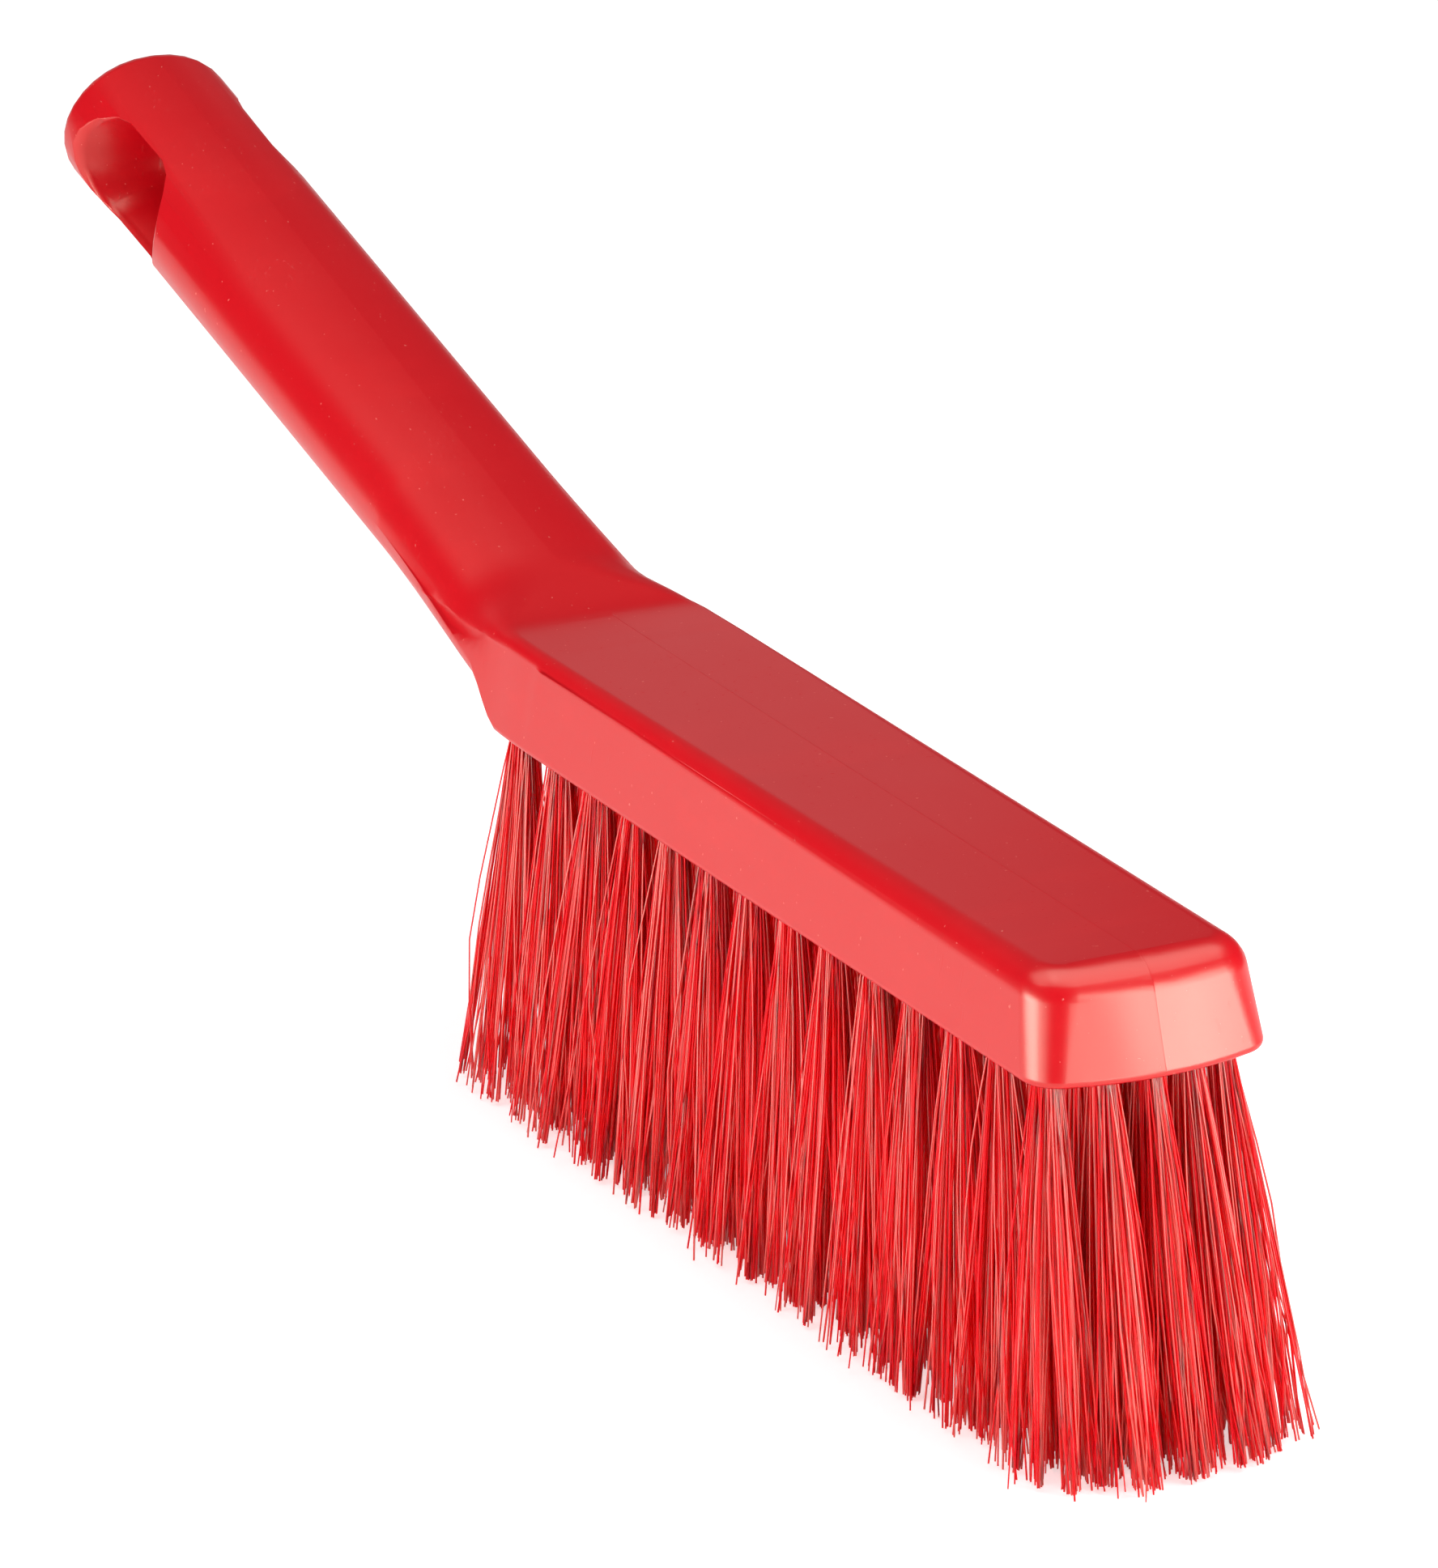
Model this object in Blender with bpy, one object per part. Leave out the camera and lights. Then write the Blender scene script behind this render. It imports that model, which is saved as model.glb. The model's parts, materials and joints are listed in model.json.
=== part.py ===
"""A hand brush: one moulded block-and-handle, with tufts of filament set in blind holes.

Metres, +Z up. The brush stands on the tips of its tufts, its nose towards +X, its handle rising
towards -X, and XZ is its plane of symmetry. The shape is drawn in the block's own frame, where
x = 0 is the nose of the underside and z = 0 is the underside itself. At the end the empty "brush"
carries it to the middle of its own footprint.
"""

import math

import bmesh
import bpy
from mathutils import Matrix, Vector

# Block: a straight bar with a raked, bowed nose.
BLOCK_WIDTH = 0.0376
BLOCK_HEIGHT = 0.0152
BLOCK_LENGTH = 0.1650  # underside, from the nose to where the throat begins to rise
SIDE_DRAFT = 0.0018  # how far the top edge of a side lies inside its lower edge
NOSE_RAKE = 0.0054  # how far the top edge of the nose lies behind its lower edge
NOSE_BOW_RADIUS = 0.0500  # seen from below
NOSE_TOP_BOW_RADIUS = 0.7000  # the top edge of the nose is almost straight
CORNER_RADIUS = 0.0058  # between nose and side, seen from below
TOP_CORNER_RADIUS = 0.0066
RIM_RADIUS = 0.0012
TOP_FILLET_REAR = 0.0022
TOP_FILLET_NOSE = 0.0041

# Handle: an oval bar on a straight, rising axis, fuller towards its end.
OVERALL_LENGTH = 0.3250  # nose of the underside to the end of the handle
HANDLE_RISE = math.radians(15.7)
CREASE_LEAD = 0.0008  # the crease behind the block's top lies this far before the underside's end
HANDLE_WIDTH_THROAT = 0.0314
HANDLE_WIDTH_END = 0.0289
HANDLE_THICKNESS_THROAT = 0.0168
HANDLE_THICKNESS_END = 0.0247
END_DOME = 0.0053
BACK_BLEND = 0.0003  # how far the concave blends lift the corner that they round
BELLY_BLEND = 0.0004
SEAM_LAND = 0.0003  # half of the flat left along the parting line of the mould

# Throat: how far from the block's end its corners have softened into the oval.
TOP_SOFTENING = 0.0161
TOP_SOFTENING_LEAD = 0.0043  # it begins this far before the underside's end
RIM_SOFTENING = 0.0076
RIM_SOFTENING_LEAD = 0.0025
NARROWING = 0.0435
NARROWING_LEAD = 0.0150

# Hanging hole: a long slot through the handle, from side to side, with funnelled mouths.
SLOT_FROM_END = 0.0238  # handle's end to the middle of the slot
SLOT_LENGTH = 0.0190  # at the neck
SLOT_HEIGHT = 0.0088
MOUTH_LENGTH = 0.0280
MOUTH_HEIGHT = 0.0165
LIP_RADIUS = 0.0022
LIP_ARC = math.radians(75)  # the lip's arc stops before it grazes the skin

# Tufts: a ring inside the edge of the underside, and two rows inside the ring.
SIDE_TUFTS = 14
NOSE_TUFTS = 3  # between the two corner tufts
SIDE_INSET = 0.0056  # hole centre to the side of the underside
NOSE_INSET = 0.0055
HEEL_INSET = 0.0025
NOSE_ARC_RADIUS = 0.0235  # of the ring of holes, round the nose
INNER_ROW_SHARE = 1 / 3  # of the way from the middle to the side rows
HOLE_RADIUS = 0.00245
HOLE_DEPTH = 0.0100
TUFT_CLEARANCE = 0.0003
FREE_LENGTH = 0.0570  # underside to the trimmed tips
SPREAD_RATIO_ALONG = 1.065  # spread of the tips over the spread of the holes
SPREAD_RATIO_ACROSS = 1.36
SPLAY_FORWARD = 0.0045
CORNER_SPLAY = 0.0030  # the corner tufts at the nose stand out further, by this much sideways
TIP_RADIUS = 0.0069  # of a tuft's fan, where it has no neighbour
TIP_RADIUS_CROWDED = 0.0095  # towards a neighbour, until the two fans meet halfway

# Fineness of the meshes.
ARC_STEPS = 8
BOW_STEPS = 8
LIP_STEPS = 4
THROAT_STEP = 0.0022
HOLE_SIDES = 10
TUFT_LEVELS = (0.0, 0.26, 0.52, 1.0)

RED = (0.78, 0.012, 0.022, 1.0)
FILAMENT_RED = (0.83, 0.030, 0.030, 1.0)


def smoothstep(value):
    """0 below 0, 1 above 1, and an S-curve between."""
    value = min(max(value, 0.0), 1.0)
    return value * value * (3 - 2 * value)


def mix(start, end, share):
    """The value that lies this share of the way from start to end."""
    return start + (end - start) * share


def smooth_max(first, second, blend):
    """The larger of two values, rounded where they cross."""
    return (first + second + math.hypot(first - second, 2 * blend)) / 2


def material(name, colour, roughness):
    """A plain Principled material."""
    made = bpy.data.materials.new(name)
    made.use_nodes = True
    shader = made.node_tree.nodes["Principled BSDF"]
    shader.inputs["Base Color"].default_value = colour
    shader.inputs["Roughness"].default_value = roughness
    shader.inputs["Metallic"].default_value = 0.0
    return made


def object_from(name, mesh, finish, sharp_angle):
    """A new object from a bmesh, with outward faces and smooth shading."""
    bmesh.ops.recalc_face_normals(mesh, faces=mesh.faces)
    data = bpy.data.meshes.new(name)
    mesh.to_mesh(data)
    mesh.free()
    data.materials.append(finish)
    data.shade_smooth()
    data.set_sharp_from_angle(angle=sharp_angle)
    made = bpy.data.objects.new(name, data)
    bpy.context.collection.objects.link(made)
    return made


def add_ring(mesh, points):
    return [mesh.verts.new(point) for point in points]


def bridge(mesh, rings):
    """Quads between each ring and the next; all have the same number of points."""
    for ring, following in zip(rings, rings[1:]):
        count = len(ring)
        for i in range(count):
            j = (i + 1) % count
            mesh.faces.new((ring[i], ring[j], following[j], following[i]))


# --- the handle's line ---------------------------------------------------------------------------

RISE = math.tan(HANDLE_RISE)
THROAT_START = max(TOP_SOFTENING_LEAD, RIM_SOFTENING_LEAD, NARROWING_LEAD) - BLOCK_LENGTH
THROAT_END = -BLOCK_LENGTH - NARROWING
THROAT_X = CREASE_LEAD - BLOCK_LENGTH
THROAT_HALF_THICKNESS = HANDLE_THICKNESS_THROAT / 2 / math.cos(HANDLE_RISE)
HANDLE_DIRECTION = Vector((-math.cos(HANDLE_RISE), 0, math.sin(HANDLE_RISE)))
HANDLE_NORMAL = Vector((math.sin(HANDLE_RISE), 0, math.cos(HANDLE_RISE)))
THROAT = Vector((THROAT_X, 0, BLOCK_HEIGHT - THROAT_HALF_THICKNESS))
HANDLE_REACH = (OVERALL_LENGTH + THROAT_X) / math.cos(HANDLE_RISE)
SLOT_MIDDLE = HANDLE_REACH - SLOT_FROM_END


def handle_half_width(reach):
    """Half the handle's width, this far along its axis from the throat."""
    return mix(HANDLE_WIDTH_THROAT, HANDLE_WIDTH_END, reach / HANDLE_REACH) / 2


def handle_half_thickness(reach):
    """Half the handle's thickness, this far along its axis from the throat."""
    return mix(HANDLE_THICKNESS_THROAT, HANDLE_THICKNESS_END, reach / HANDLE_REACH) / 2


# --- cross-sections ------------------------------------------------------------------------------


def side_profile(half_low, half_high, down, up, low_corner, high_corner):
    """One side of a cross-section, from its underside to its top, as (sideways, upright) points.

    A corner is (sideways radius, upright radius): small for the block, the full oval for the handle.
    """
    points = []
    for step in range(ARC_STEPS + 1):
        angle = math.pi / 2 * (step / ARC_STEPS - 1)
        points.append((
            half_low - low_corner[0] * (1 - math.cos(angle)),
            -down + low_corner[1] * (1 + math.sin(angle)),
        ))
    for step in range(ARC_STEPS + 1):
        angle = math.pi / 2 * step / ARC_STEPS
        points.append((
            half_high - high_corner[0] * (1 - math.cos(angle)),
            up - high_corner[1] * (1 - math.sin(angle)),
        ))
    return points


def section_ring(centre, lean, profile):
    """A closed ring: the +Y side upwards, then the -Y side downwards, in a plane that leans back."""
    upright = Vector((math.sin(lean), 0, math.cos(lean)))
    near = [centre + upright * v + Vector((0, y, 0)) for y, v in profile]
    far = [centre + upright * v - Vector((0, y, 0)) for y, v in reversed(profile)]
    return near + far


def throat_ring(x):
    """The upright section at x, between the block and the straight part of the handle."""
    reach = (THROAT_X - x) / math.cos(HANDLE_RISE)
    oval_width = handle_half_width(reach)
    oval_height = handle_half_thickness(reach) / math.cos(HANDLE_RISE)
    axis_z = THROAT.z + (THROAT_X - x) * RISE
    top = smooth_max(BLOCK_HEIGHT, axis_z + oval_height, BACK_BLEND)
    bottom = smooth_max(0.0, axis_z - oval_height, BELLY_BLEND)
    half = (top - bottom) / 2
    beyond = -BLOCK_LENGTH - x
    low_share = smoothstep((beyond + RIM_SOFTENING_LEAD) / (RIM_SOFTENING + RIM_SOFTENING_LEAD))
    high_share = smoothstep((beyond + TOP_SOFTENING_LEAD) / (TOP_SOFTENING + TOP_SOFTENING_LEAD))
    narrowing = smoothstep((beyond + NARROWING_LEAD) / (NARROWING + NARROWING_LEAD))
    low = mix(BLOCK_WIDTH / 2, oval_width, narrowing)
    high = mix(BLOCK_WIDTH / 2 - SIDE_DRAFT, oval_width, narrowing)
    profile = side_profile(
        low, high, half, half,
        (mix(RIM_RADIUS, low - SEAM_LAND, low_share), mix(RIM_RADIUS, half, low_share)),
        (mix(TOP_FILLET_REAR, high - SEAM_LAND, high_share), mix(TOP_FILLET_REAR, half, high_share)),
    )
    return section_ring(Vector((x, 0, (top + bottom) / 2)), 0.0, profile)


def handle_ring(reach, share):
    """An oval section square to the handle's axis, shrunk to a share of its size in the end's dome."""
    wide = handle_half_width(reach) * share
    thick = handle_half_thickness(reach) * share
    corner = (max(wide - SEAM_LAND, wide / 2), thick)
    profile = side_profile(wide, wide, thick, thick, corner, corner)
    return section_ring(THROAT + HANDLE_DIRECTION * reach, HANDLE_RISE, profile)


# --- the block's outline -------------------------------------------------------------------------


def nose_outline(half_width, nose_x, bow_radius, corner_radius):
    """The +Y half of the block's outline seen from above, from the rear to the nose's middle.

    It holds points with their outward directions: the side, the corner and the bowed nose.
    """
    bow_centre = nose_x - bow_radius
    # The corner's arc touches the side and lies inside the bow's arc.
    corner_y = half_width - corner_radius
    bow_angle = math.asin(corner_y / (bow_radius - corner_radius))
    corner_x = bow_centre + (bow_radius - corner_radius) * math.cos(bow_angle)
    points = [((x, half_width), math.pi / 2) for x in (THROAT_START, mix(THROAT_START, corner_x, 0.5))]
    for step in range(ARC_STEPS + 1):
        angle = mix(math.pi / 2, bow_angle, step / ARC_STEPS)
        position = (corner_x + corner_radius * math.cos(angle), corner_y + corner_radius * math.sin(angle))
        points.append((position, angle))
    half_steps = BOW_STEPS // 2
    for step in range(1, half_steps + 1):
        angle = bow_angle * (1 - step / half_steps)
        position = (bow_centre + bow_radius * math.cos(angle), bow_radius * math.sin(angle))
        points.append((position, angle))
    return points


def block_columns():
    """The wall of the block as columns of points, from the rear of its +Y side round to its -Y side."""
    top_half = BLOCK_WIDTH / 2 - SIDE_DRAFT
    lower = nose_outline(BLOCK_WIDTH / 2, 0.0, NOSE_BOW_RADIUS, CORNER_RADIUS)
    upper = nose_outline(top_half, -NOSE_RAKE, NOSE_TOP_BOW_RADIUS, TOP_CORNER_RADIUS)
    columns = []
    for (low, angle), (high, high_angle) in zip(lower, upper):
        fillet = mix(TOP_FILLET_NOSE, TOP_FILLET_REAR, low[0] / THROAT_START)
        corner = (fillet, fillet)
        column = []
        for inset, z in side_profile(0, 0, 0, BLOCK_HEIGHT, (RIM_RADIUS, RIM_RADIUS), corner):
            share = z / BLOCK_HEIGHT
            facing = mix(angle, high_angle, share)
            x = mix(low[0], high[0], share) + inset * math.cos(facing)
            y = mix(low[1], high[1], share) + inset * math.sin(facing)
            column.append(Vector((x, y, z)))
        columns.append(column)
    mirrored = [[Vector((p.x, -p.y, p.z)) for p in column] for column in reversed(columns[:-1])]
    return columns + mirrored


def body_mesh():
    """The block, throat and handle as one closed skin, without its holes."""
    mesh = bmesh.new()
    columns = [add_ring(mesh, column) for column in block_columns()]
    for column, following in zip(columns, columns[1:]):
        for i in range(len(column) - 1):
            mesh.faces.new((column[i], column[i + 1], following[i + 1], following[i]))
    # The top and the underside are flat, and closed by bars from side to side.
    for level in (0, -1):
        edge = [column[level] for column in columns]
        for i in range(len(edge) // 2 - 1):
            mesh.faces.new((edge[i], edge[i + 1], edge[-i - 2], edge[-i - 1]))
        middle = len(edge) // 2
        mesh.faces.new((edge[middle - 1], edge[middle], edge[middle + 1]))
    first = columns[0] + columns[-1][::-1]

    steps = math.ceil((THROAT_START - THROAT_END) / THROAT_STEP)
    rings = [throat_ring(mix(THROAT_START, THROAT_END, step / steps)) for step in range(1, steps + 1)]
    dome_start = HANDLE_REACH - END_DOME
    rings.append(handle_ring(mix(NARROWING, dome_start, 0.5), 1))
    rings.append(handle_ring(dome_start, 1))
    for step in range(1, ARC_STEPS):
        angle = math.pi / 2 * step / ARC_STEPS
        rings.append(handle_ring(dome_start + END_DOME * math.sin(angle), math.cos(angle)))
    rings = [first] + [add_ring(mesh, ring) for ring in rings]
    bridge(mesh, rings)
    mesh.faces.new(rings[-1])
    return mesh


def slot_outline(length, height):
    """A round-ended slot seen from the side, as (along the handle, upright) points."""
    points = []
    for end in (1, -1):
        for step in range(ARC_STEPS + 1):
            angle = math.pi / 2 - math.pi * step / ARC_STEPS
            along = (length - height) / 2 + height / 2 * math.cos(angle)
            points.append((end * along, end * height / 2 * math.sin(angle)))
    return points


def surface_y(along, upright):
    """How far to the side the handle's skin lies at this place beside the slot."""
    reach = SLOT_MIDDLE + along
    share = min(abs(upright) / handle_half_thickness(reach), 1.0)
    return handle_half_width(reach) * math.sqrt(1 - share * share)


def lip_rings():
    """The lip of a mouth: (outline, depths) pairs from the funnel's wall out through the skin.

    The lip is an arc from the wall's edge, and then a straight flare, so that the cutter ends in the open.
    """
    mouth = slot_outline(MOUTH_LENGTH, MOUTH_HEIGHT)
    skin = [surface_y(*point) for point in mouth]
    rings = []
    for step in range(LIP_STEPS + 1):
        angle = LIP_ARC * step / LIP_STEPS
        spread = 2 * LIP_RADIUS * (1 - math.cos(angle))
        sunk = LIP_RADIUS * (1 - math.sin(angle))
        rings.append((slot_outline(MOUTH_LENGTH + spread, MOUTH_HEIGHT + spread), [y - sunk for y in skin]))
    flare = HANDLE_WIDTH_THROAT
    spread += 2 * flare * math.sin(LIP_ARC)
    rise = flare * math.cos(LIP_ARC) - sunk
    rings.append((slot_outline(MOUTH_LENGTH + spread, MOUTH_HEIGHT + spread), [y + rise for y in skin]))
    return rings


def slot_cutter():
    """The solid that the hanging hole takes out: two funnels, neck to neck, with rounded lips."""
    middle = THROAT + HANDLE_DIRECTION * SLOT_MIDDLE
    neck = slot_outline(SLOT_LENGTH, SLOT_HEIGHT)

    def ring(outline, depths, side):
        return [
            middle + HANDLE_DIRECTION * along + HANDLE_NORMAL * upright + Vector((0, side * depth, 0))
            for (along, upright), depth in zip(outline, depths)
        ]

    lips = lip_rings()
    mesh = bmesh.new()
    rings = [ring(*lip, -1) for lip in reversed(lips)]
    rings.append(ring(neck, [0.0] * len(neck), 1))
    rings += [ring(*lip, 1) for lip in lips]
    rings = [add_ring(mesh, points) for points in rings]
    bridge(mesh, rings)
    mesh.faces.new(rings[0])
    mesh.faces.new(rings[-1])
    bmesh.ops.triangulate(mesh, faces=mesh.faces)
    return mesh


# --- tufts ---------------------------------------------------------------------------------------


def tuft_places():
    """The name and hole centre of every tuft, in the block's frame."""
    side_y = BLOCK_WIDTH / 2 - SIDE_INSET
    inner_y = side_y * INNER_ROW_SHARE
    arc_centre = -NOSE_INSET - NOSE_ARC_RADIUS
    corner_x = arc_centre + math.sqrt(NOSE_ARC_RADIUS**2 - side_y**2)
    heel_x = HEEL_INSET - BLOCK_LENGTH
    pitch = (corner_x - heel_x) / (SIDE_TUFTS - 1)
    places = {}
    for number in range(SIDE_TUFTS):
        x = heel_x + pitch * number
        places[f"tuft_left_{number + 1:02d}"] = (x, side_y)
        places[f"tuft_right_{number + 1:02d}"] = (x, -side_y)
        if number < SIDE_TUFTS - 1:
            between = x + pitch / 2
            places[f"tuft_inner_left_{number + 1:02d}"] = (between, inner_y)
            places[f"tuft_inner_right_{number + 1:02d}"] = (between, -inner_y)
    for number in range(1, NOSE_TUFTS + 1):
        y = mix(side_y, -side_y, number / (NOSE_TUFTS + 1))
        places[f"tuft_nose_{number}"] = (arc_centre + math.sqrt(NOSE_ARC_RADIUS**2 - y**2), y)
    places["tuft_heel"] = (heel_x, 0.0)
    return places


def tuft_axes(places):
    """For each tuft, its centre at the underside and at the tips."""
    middle = -BLOCK_LENGTH / 2
    axes = {}
    for name, (x, y) in places.items():
        corner = CORNER_SPLAY if name.endswith(f"_{SIDE_TUFTS:02d}") else 0.0
        tip_x = middle + SPLAY_FORWARD + (x - middle) * SPREAD_RATIO_ALONG
        tip_y = y * SPREAD_RATIO_ACROSS + math.copysign(corner, y)
        axes[name] = (Vector((x, y, 0)), Vector((tip_x, tip_y, -FREE_LENGTH)))
    return axes


def tuft_reach(centre, others, free_radius, crowded_radius, angle):
    """How far a tuft spreads this way: its own fan, fuller towards a neighbour, but only halfway to it."""
    own = free_radius
    halfway = math.inf
    for other in others:
        gap = other - centre
        facing = (math.cos(angle) * gap.x + math.sin(angle) * gap.y) / gap.length
        if facing > 0:
            own = max(own, mix(free_radius, crowded_radius, facing**2))
            halfway = min(halfway, (gap.length - TUFT_CLEARANCE) / 2 / facing)
    return min(own, halfway)


def tuft_mesh(name, axes):
    """One tuft: a round root with a folded end, fanning out until it meets its neighbours."""
    root, tip = axes[name]
    others = [axis for other, axis in axes.items() if other != name]
    into_hole = (root - tip).normalized()
    turned = Vector((0, 0, 1)).rotation_difference(into_hole)
    root_radius = HOLE_RADIUS - TUFT_CLEARANCE
    fold = HOLE_DEPTH - TUFT_CLEARANCE
    turns = [2 * math.pi * side / HOLE_SIDES for side in range(HOLE_SIDES)]
    mesh = bmesh.new()
    rings = []
    for radius, depth in ((root_radius / 2, fold), (root_radius, fold - root_radius / 2)):
        ring = [root + turned @ Vector((radius * math.cos(a), radius * math.sin(a), depth)) for a in turns]
        rings.append(add_ring(mesh, ring))
    for level in TUFT_LEVELS:
        centre = root.lerp(tip, level)
        neighbours = [low.lerp(high, level) for low, high in others]
        free = mix(root_radius, TIP_RADIUS, level)
        crowded = mix(root_radius, TIP_RADIUS_CROWDED, level)
        ring = []
        for angle in turns:
            reach = tuft_reach(centre, neighbours, free, crowded, angle)
            ring.append(centre + Vector((reach * math.cos(angle), reach * math.sin(angle), 0)))
        rings.append(add_ring(mesh, ring))
    bridge(mesh, rings)
    mesh.faces.new(rings[0])
    mesh.faces.new(rings[-1])
    bmesh.ops.triangulate(mesh, faces=mesh.faces)
    return mesh


def hole_cutter(axes):
    """All the blind holes, each in line with its tuft, as plugs that reach out through the underside."""
    mesh = bmesh.new()
    length = HOLE_DEPTH + HOLE_RADIUS
    for root, tip in axes.values():
        into_hole = (root - tip).normalized()
        turned = Vector((0, 0, 1)).rotation_difference(into_hole).to_matrix().to_4x4()
        middle = root + into_hole * (HOLE_DEPTH - length / 2)
        bmesh.ops.create_cone(
            mesh, cap_ends=True, segments=HOLE_SIDES, radius1=HOLE_RADIUS, radius2=HOLE_RADIUS,
            depth=length, matrix=Matrix.Translation(middle) @ turned,
        )
    return mesh


# --- assembly ------------------------------------------------------------------------------------


def cut(body, cutter):
    """Takes the cutter's shape out of the body, and keeps the cutter out of the model."""
    cutter.hide_render = True
    cutter.display_type = "WIRE"
    difference = body.modifiers.new(cutter.name, "BOOLEAN")
    difference.operation = "DIFFERENCE"
    difference.solver = "EXACT"
    difference.object = cutter


def world_box(objects):
    """The lowest and highest corners of some objects, with their modifiers."""
    graph = bpy.context.evaluated_depsgraph_get()
    corners = [o.matrix_world @ Vector(c) for o in objects for c in o.evaluated_get(graph).bound_box]
    low = Vector(map(min, zip(*corners)))
    high = Vector(map(max, zip(*corners)))
    return low, high


def build():
    """Clears the scene and builds the brush."""
    for existing in list(bpy.data.objects):
        bpy.data.objects.remove(existing, do_unlink=True)

    plastic = material("moulded_plastic", RED, 0.38)
    filament = material("filament", FILAMENT_RED, 0.45)
    places = tuft_places()
    axes = tuft_axes(places)

    body = object_from("brush_body", body_mesh(), plastic, math.radians(30))
    slot = object_from("slot_cutter", slot_cutter(), plastic, math.radians(30))
    holes = object_from("hole_cutter", hole_cutter(axes), plastic, math.radians(30))
    cut(body, slot)
    cut(body, holes)
    tufts = [object_from(name, tuft_mesh(name, axes), filament, math.radians(40)) for name in places]

    brush = bpy.data.objects.new("brush", None)
    bpy.context.collection.objects.link(brush)
    for piece in (body, slot, holes, *tufts):
        piece.parent = brush
    bpy.context.view_layer.update()
    low, high = world_box([body, *tufts])
    brush.location = (-(low.x + high.x) / 2, 0.0, -low.z)
    bpy.context.view_layer.update()


build()
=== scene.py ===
"""Dresses the hand brush: its moulded block and handle, and its tufts of folded filament.

Metres, +Z up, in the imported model's frame. The brush stands on the trimmed ends of its tufts, with
its nose towards +X, its handle rising towards -X, and XZ as its plane of symmetry.
"""

import json
import logging
import math
from dataclasses import dataclass
from enum import Enum

import bpy
import numpy as np
from mathutils import Matrix, Vector

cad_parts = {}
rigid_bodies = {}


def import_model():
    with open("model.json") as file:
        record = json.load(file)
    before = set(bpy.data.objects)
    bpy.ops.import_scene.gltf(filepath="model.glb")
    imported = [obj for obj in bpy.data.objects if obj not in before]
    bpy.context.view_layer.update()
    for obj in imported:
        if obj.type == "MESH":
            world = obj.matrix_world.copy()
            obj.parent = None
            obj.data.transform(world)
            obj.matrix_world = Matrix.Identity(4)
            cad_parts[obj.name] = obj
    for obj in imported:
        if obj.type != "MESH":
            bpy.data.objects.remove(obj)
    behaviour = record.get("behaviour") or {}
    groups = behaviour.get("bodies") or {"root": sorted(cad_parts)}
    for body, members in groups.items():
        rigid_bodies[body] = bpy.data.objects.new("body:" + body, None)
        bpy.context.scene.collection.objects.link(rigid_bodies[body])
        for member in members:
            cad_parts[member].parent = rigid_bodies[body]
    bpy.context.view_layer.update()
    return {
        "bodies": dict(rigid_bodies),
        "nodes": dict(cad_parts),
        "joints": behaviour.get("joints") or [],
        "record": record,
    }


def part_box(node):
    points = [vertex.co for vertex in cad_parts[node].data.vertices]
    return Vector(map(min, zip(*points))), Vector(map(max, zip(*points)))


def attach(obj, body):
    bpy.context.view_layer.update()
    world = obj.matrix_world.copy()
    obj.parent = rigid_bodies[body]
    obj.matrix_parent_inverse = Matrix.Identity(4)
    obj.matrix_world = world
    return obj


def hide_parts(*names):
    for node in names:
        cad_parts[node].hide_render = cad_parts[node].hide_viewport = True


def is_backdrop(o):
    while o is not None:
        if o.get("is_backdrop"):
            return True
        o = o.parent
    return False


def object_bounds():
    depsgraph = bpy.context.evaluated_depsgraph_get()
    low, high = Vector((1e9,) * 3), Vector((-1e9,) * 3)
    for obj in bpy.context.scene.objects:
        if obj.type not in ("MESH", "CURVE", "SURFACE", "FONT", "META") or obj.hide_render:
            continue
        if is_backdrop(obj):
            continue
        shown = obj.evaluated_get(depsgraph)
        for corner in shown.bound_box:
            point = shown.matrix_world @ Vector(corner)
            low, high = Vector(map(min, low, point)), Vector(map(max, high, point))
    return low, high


MM = 0.001
FILAMENT_UV = "filament"
FIRST_SEED = 100

Colour = tuple[float, float, float, float]
Triple = tuple[float, float, float]
Span = tuple[float, float]
Template = tuple[np.ndarray, np.ndarray, list[tuple[int, ...]]]

log = logging.getLogger("hand_brush")


# --- working by operators -------------------------------------------------------------------------


def deselect_all() -> None:
    """Goes to object mode and selects nothing."""
    if bpy.context.mode != "OBJECT":
        bpy.ops.object.mode_set(mode="OBJECT")
    bpy.ops.object.select_all(action="DESELECT")


def pick(piece: bpy.types.Object) -> None:
    """Selects one piece alone and makes it active, in object mode.

    Args:
        piece: the object to pick.
    """
    deselect_all()
    piece.select_set(True)
    bpy.context.view_layer.objects.active = piece


def finish_piece(piece: bpy.types.Object, name: str, finish: bpy.types.Material) -> None:
    """Names a finished piece, gives it its one material and lets it ride on the brush.

    Args:
        piece: the finished mesh object, with its place in its mesh.
        name: the name of the piece and of its mesh.
        finish: the material that covers it.
    """
    piece.name = piece.data.name = name
    piece.data.materials.clear()
    piece.data.materials.append(finish)
    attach(piece, "root")


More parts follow.
